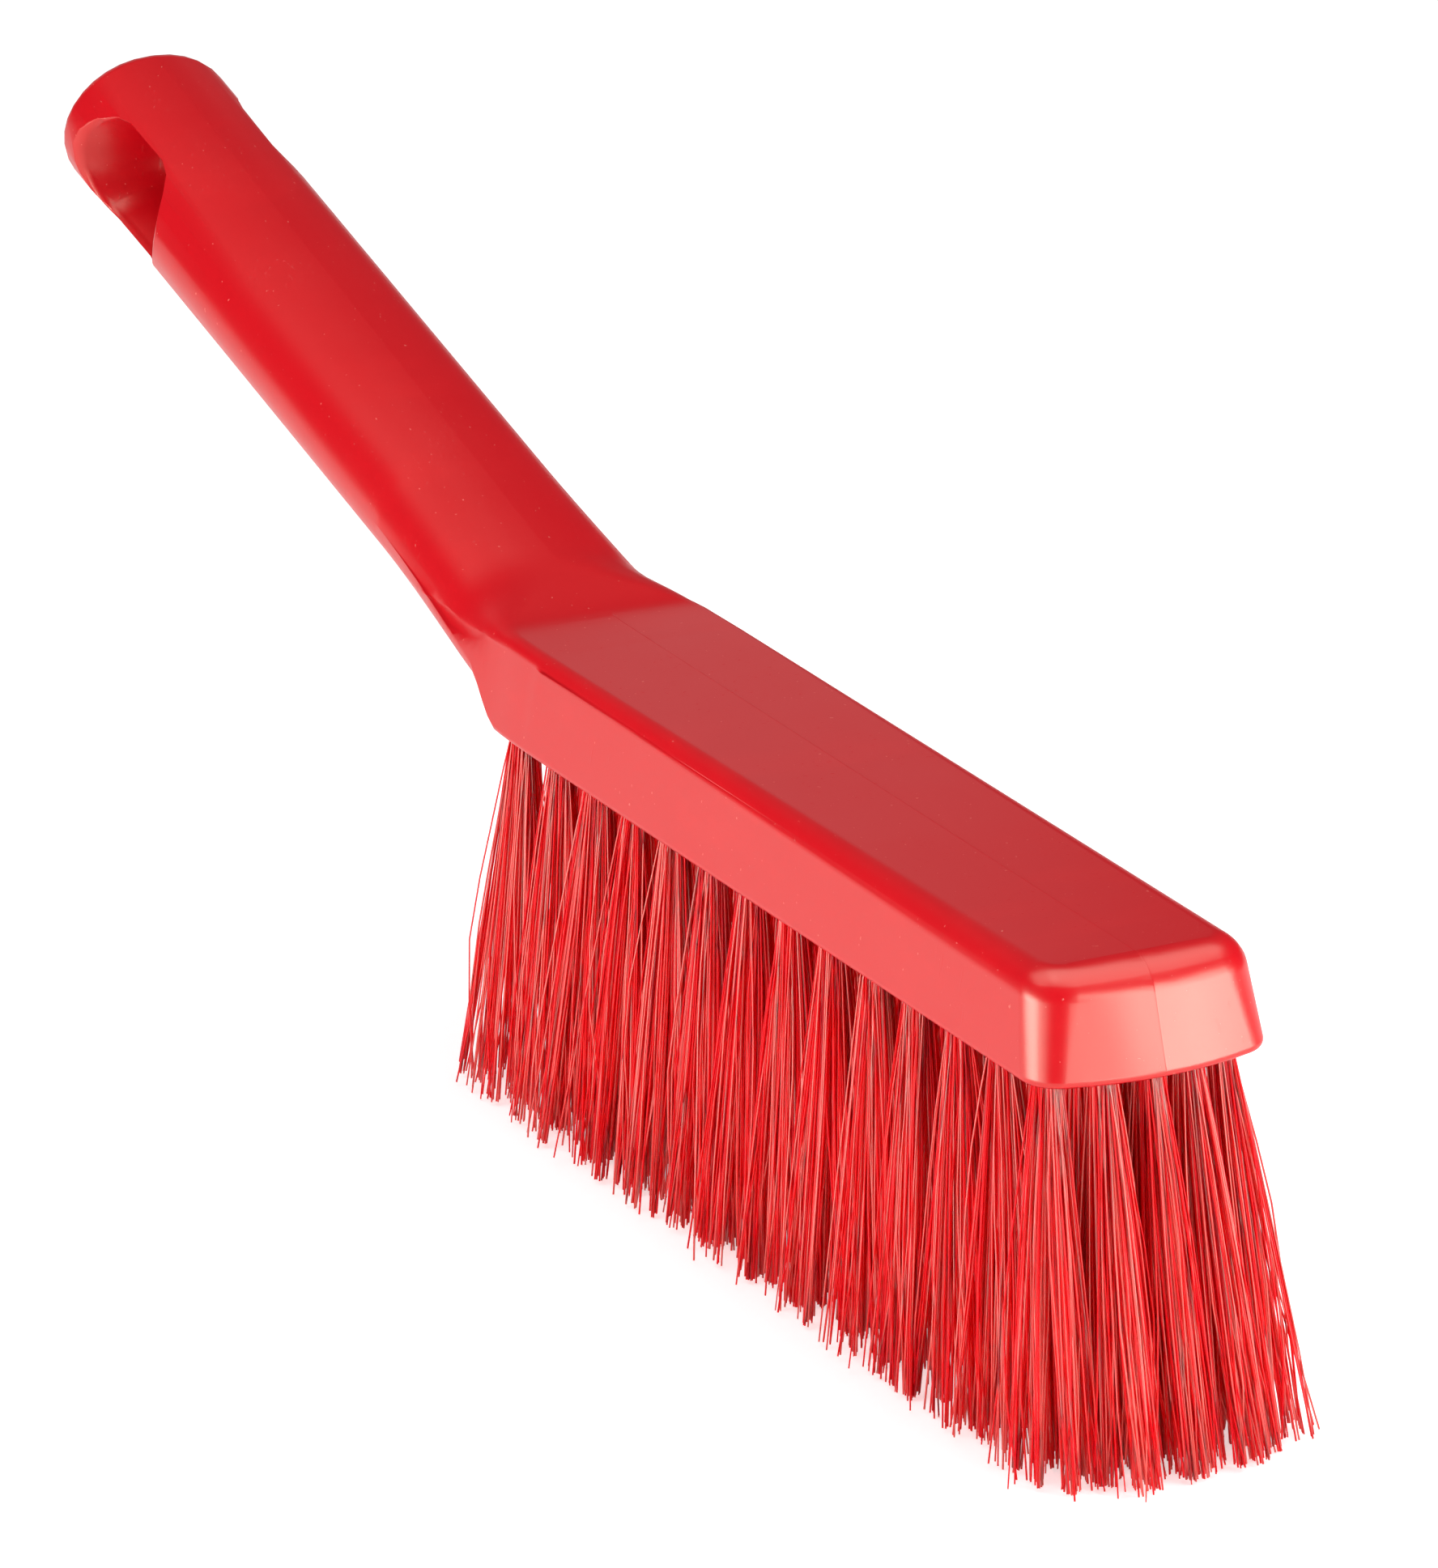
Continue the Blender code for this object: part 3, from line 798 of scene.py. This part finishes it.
@dataclass
class WireAnchor:
    """The short flat wire that holds a tuft's folds at the bottom of its hole."""

    length: float = 4.7 * MM
    height: float = 1.9 * MM
    thickness: float = 0.36 * MM
    edge: float = 0.08 * MM
    from_fold: float = 0.45 * MM
    smooth_angle: float = math.radians(40)

    def build(self) -> bpy.types.Object:
        """Models one anchor about the origin, its length along X, its top edge at z = 0."""
        deselect_all()
        bpy.ops.mesh.primitive_cube_add(
            size=1.0,
            location=(0.0, 0.0, -self.height / 2),
            scale=(self.length, self.thickness, self.height),
        )
        wire = bpy.context.view_layer.objects.active
        bpy.ops.object.transform_apply(location=True, rotation=True, scale=True)
        bpy.ops.object.mode_set(mode="EDIT")
        bpy.ops.mesh.select_mode(type="EDGE")
        bpy.ops.mesh.select_all(action="DESELECT")
        bpy.ops.object.mode_set(mode="OBJECT")
        for line in wire.data.edges:
            ends = [wire.data.vertices[corner].co for corner in line.vertices]
            line.select = abs(ends[0].x - ends[1].x) > self.length / 2
        bpy.ops.object.mode_set(mode="EDIT")
        bpy.ops.mesh.bevel(offset=self.edge, segments=2)
        bpy.ops.object.mode_set(mode="OBJECT")
        bpy.ops.object.shade_smooth_by_angle(angle=self.smooth_angle)
        return wire

    def place(self, model: bpy.types.Object, seat: Seat, finish: bpy.types.Material) -> bpy.types.Object:
        """Copies the anchor into a tuft's hole.

        Args:
            model: the anchor that build made.
            seat: the hole that takes the copy.
            finish: its steel.

        Returns:
            The finished anchor.
        """
        inward = Vector(seat.inward)
        turn = Vector((0.0, 0.0, 1.0)).rotation_difference(inward).to_matrix().to_4x4()
        spot = Vector(seat.root) + inward * (seat.depth - self.from_fold)
        mesh = model.data.copy()
        mesh.transform(Matrix.Translation(spot) @ turn)
        piece = bpy.data.objects.new(seat.name, mesh)
        bpy.context.collection.objects.link(piece)
        finish_piece(piece, seat.name.replace("tuft", "anchor"), finish)
        return piece


# --- the studio -----------------------------------------------------------------------------------


def direction(azimuth: float, elevation: float) -> Vector:
    """The unit vector towards an azimuth, from +X round to +Y, and an elevation, both in degrees."""
    turn, rise = math.radians(azimuth), math.radians(elevation)
    return Vector((math.cos(rise) * math.cos(turn), math.cos(rise) * math.sin(turn), math.sin(rise)))


@dataclass(frozen=True)
class Softbox:
    """A rectangular lamp that faces the brush, with angles in degrees and its power in watts."""

    name: str
    aim_x: float
    azimuth: float
    elevation: float
    distance: float
    width: float
    height: float
    power: float

    def build(self, aim_z: float) -> None:
        """Hangs the lamp at its angles and distance from the point it faces.

        Args:
            aim_z: the height of that point, which lies on the plane of symmetry.
        """
        deselect_all()
        target = Vector((self.aim_x, 0.0, aim_z))
        outward = direction(self.azimuth, self.elevation)
        bpy.ops.object.light_add(
            type="AREA",
            location=target + outward * self.distance,
            rotation=outward.to_track_quat("Z", "Y").to_euler(),
        )
        lamp = bpy.context.view_layer.objects.active
        lamp.name = lamp.data.name = self.name
        lamp.data.shape = "RECTANGLE"
        lamp.data.size = self.width
        lamp.data.size_y = self.height
        lamp.data.energy = self.power


@dataclass
class Studio:
    """A pale floor and a white background in dim even light, with lamps round the brush and above it.

    The lamps' left and right are the camera's.
    """

    aim_z: float = 0.07
    floor_size: float = 12.0
    floor_colour: Colour = (0.93, 0.93, 0.93, 1.0)
    floor_roughness: float = 0.9
    floor_lift: float = 0.54
    floor_reflected: float = 0.24
    white: Colour = (1.0, 1.0, 1.0, 1.0)
    surround_tone: float = 0.06
    diffuse_bounces: int = 12
    all_bounces: int = 20
    lamps: tuple[Softbox, ...] = (
        Softbox("softbox_left", 0.0, -88.0, 3.0, 0.8, 0.54, 0.28, 5.2),
        Softbox("softbox_left_front", 0.0, -58.0, 2.0, 0.8, 0.30, 0.20, 0.7),
        Softbox("softbox_front", 0.155, 10.0, 2.0, 0.6, 0.30, 0.14, 0.9),
        Softbox("softbox_right", 0.155, 33.0, 18.0, 0.6, 0.28, 0.22, 1.5),
        Softbox("softbox_right_low", 0.155, 44.0, 3.0, 0.6, 0.30, 0.14, 1.3),
        Softbox("softbox_above", 0.0, 60.0, 72.0, 1.2, 1.10, 1.10, 8.6),
        Softbox("softbox_above_left", 0.0, -110.0, 70.0, 1.2, 0.80, 0.80, 3.8),
        Softbox("softbox_behind", 0.0, 167.0, 14.0, 1.2, 0.90, 0.50, 0.60),
    )

    def floor(self) -> None:
        """Lays the floor and lifts its tone to white where the camera, or a reflection, sees it."""
        deselect_all()
        bpy.ops.mesh.primitive_grid_add(x_subdivisions=8, y_subdivisions=8, size=self.floor_size)
        floor = bpy.context.view_layer.objects.active
        floor.name = "studio_floor"
        sketch = NodeSketch("studio_floor_white")
        sketch.shader.inputs["Base Color"].default_value = self.floor_colour
        sketch.shader.inputs["Roughness"].default_value = self.floor_roughness
        sketch.shader.inputs["Emission Color"].default_value = self.white
        seen = sketch.add("LightPath")
        reflected = sketch.maths("MULTIPLY", seen.outputs["Is Glossy Ray"], self.floor_reflected)
        lift = sketch.maths("MULTIPLY_ADD", seen.outputs["Is Camera Ray"], self.floor_lift, reflected)
        sketch.join(lift, sketch.shader.inputs["Emission Strength"])
        floor.data.materials.append(sketch.material)
        floor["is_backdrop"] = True

    def surround(self) -> None:
        """Sets a white background for the camera, and the dim even light for all else."""
        world = bpy.data.worlds.new("studio")
        bpy.context.scene.world = world
        world.use_nodes = True
        tree = world.node_tree
        tree.nodes.clear()
        path = tree.nodes.new("ShaderNodeLightPath")
        light = tree.nodes.new("ShaderNodeBackground")
        seen = tree.nodes.new("ShaderNodeBackground")
        choose = tree.nodes.new("ShaderNodeMixShader")
        output = tree.nodes.new("ShaderNodeOutputWorld")
        for source, target in (
            (path.outputs["Is Camera Ray"], choose.inputs["Fac"]),
            (light.outputs["Background"], choose.inputs[1]),
            (seen.outputs["Background"], choose.inputs[2]),
            (choose.outputs["Shader"], output.inputs["Surface"]),
        ):
            tree.links.new(source, target)
        light.inputs["Color"].default_value = self.white
        light.inputs["Strength"].default_value = self.surround_tone
        seen.inputs["Color"].default_value = self.white

    def build(self) -> None:
        """Sets up the whole studio."""
        self.floor()
        self.surround()
        for lamp in self.lamps:
            lamp.build(self.aim_z)
        bpy.context.scene.view_settings.view_transform = "Standard"
        # Light is passed on many times among the filaments before it leaves them.
        bpy.context.scene.cycles.diffuse_bounces = self.diffuse_bounces
        bpy.context.scene.cycles.max_bounces = self.all_bounces


@dataclass(frozen=True)
class StudioCamera:
    """A long lens ahead of the brush and to its right, a little above it."""

    from_nose: Triple = (1.0218, -0.6268, 0.4781)
    azimuth: float = -28.626  # of the line from the brush to the camera
    elevation: float = 20.046
    roll: float = 0.633
    lens: float = 220.46
    sensor: float = 36.0
    farthest: float = 50.0

    def build(self, zero: Vector) -> None:
        """Sets up the camera.

        Args:
            zero: the nose of the block's underside, on the plane of symmetry.
        """
        back = direction(self.azimuth, self.elevation)
        level = Vector((0.0, 0.0, 1.0)).cross(back).normalized()
        upright = back.cross(level)
        turn = math.radians(self.roll)
        right = level * math.cos(turn) + upright * math.sin(turn)
        up = upright * math.cos(turn) - level * math.sin(turn)
        frame = Matrix((right, up, back)).transposed().to_4x4()
        deselect_all()
        bpy.ops.object.camera_add()
        camera = bpy.context.view_layer.objects.active
        camera.name = camera.data.name = "studio_camera"
        camera.matrix_world = Matrix.Translation(zero + Vector(self.from_nose)) @ frame
        camera.data.lens = self.lens
        camera.data.sensor_width = self.sensor
        camera.data.clip_end = self.farthest
        bpy.context.scene.camera = camera


# --- assembly -------------------------------------------------------------------------------------


def main() -> None:
    """Dresses the brush and sets up its studio."""
    logging.basicConfig(level=logging.INFO, format="%(message)s")
    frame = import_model()
    body = frame["nodes"]["brush_body"]
    _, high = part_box("brush_body")
    underside_z = min(vertex.co.z for vertex in body.data.vertices)
    zero = Vector((high.x, 0.0, underside_z))
    StudioCamera().build(zero)
    Studio().build()

    moulding = Moulding(body, zero.x, zero.z).build(MouldedPlastic().material())
    log.info("%s: %d faces", moulding.name, len(moulding.data.polygons))

    low_corner, high_corner = (Vector(corner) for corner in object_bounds())
    template = Filament(Tuft.levels()).build()
    filament = FilamentPlastic().material()
    steel = AnchorSteel().material()
    anchor = WireAnchor()
    model = anchor.build()
    names = sorted(name for name in frame["nodes"] if name.startswith("tuft_"))
    for number, name in enumerate(names):
        seat = Seat.of_node(frame["nodes"][name], zero.z)
        # A tuft draws from two seeds, its own and the next one.
        tuft = Tuft(seat, low_corner.z, zero.x, FIRST_SEED + 2 * number, low_corner, high_corner)
        piece = tuft.build(filament, template)
        held_by = anchor.place(model, seat, steel)
        log.info("%s: %d faces, held by %s", piece.name, len(piece.data.polygons), held_by.name)
    bpy.data.objects.remove(model, do_unlink=True)


if __name__ == "__main__":
    main()
